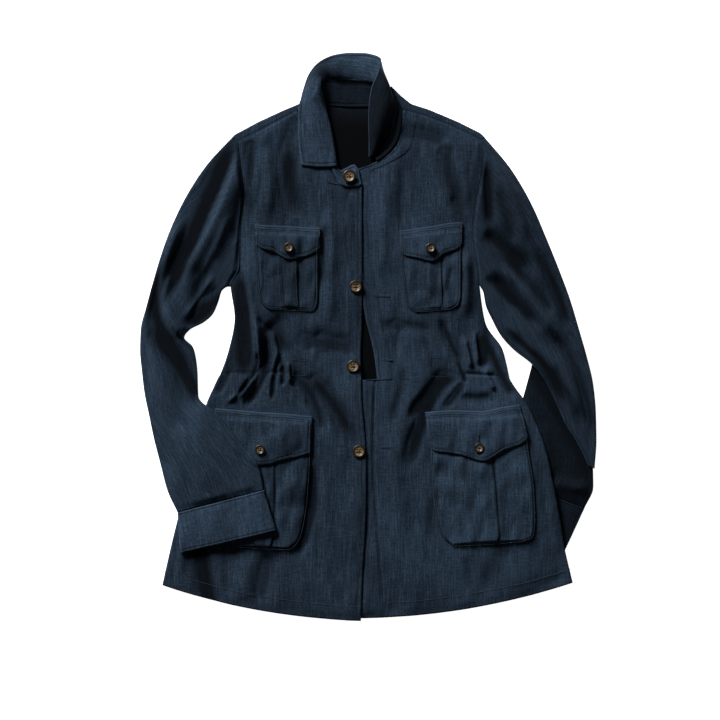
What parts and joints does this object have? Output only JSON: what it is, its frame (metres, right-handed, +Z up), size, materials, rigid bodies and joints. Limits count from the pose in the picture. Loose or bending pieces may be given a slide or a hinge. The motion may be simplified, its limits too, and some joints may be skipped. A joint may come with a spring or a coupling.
{
  "type": "utility jacket",
  "caption": "Utility jacket laid flat on its back: buttoned front, flapped patch and bellows pockets, drawn-in waist, one sleeve over the skirt and one folded under.",
  "frame": {"origin": "centre of the jacket's bounding box in plan, on the surface that it lies on", "axes": "+Y towards the collar, +X the wearer's left, +Z up from the surface to the fronts"},
  "size_m": [0.706, 0.8788, 0.0261],
  "materials": {
    "linen": "matte navy linen",
    "linen_trim": "matte navy linen, two thicknesses",
    "horn": "satin brown horn"
  },
  "bodies": {
    "root": {"left_forearm": "linen", "back": "linen", "left_front": "linen", "right_front": "linen", "left_sleeve": "linen", "right_sleeve": "linen", "right_chest_pocket": "linen", "left_chest_pocket": "linen", "right_hip_pocket": "linen", "left_hip_pocket": "linen", "left_cuff": "linen_trim", "right_cuff": "linen_trim", "right_chest_flap": "linen_trim", "left_chest_flap": "linen_trim", "right_hip_flap": "linen_trim", "left_hip_flap": "linen_trim", "collar_band": "linen_trim", "collar_leaf": "linen_trim", "front_button_1": "horn", "front_button_2": "horn", "front_button_3": "horn", "front_button_4": "horn", "right_chest_button": "horn", "left_chest_button": "horn", "right_hip_button": "horn", "left_hip_button": "horn"}
  },
  "joints": []
}
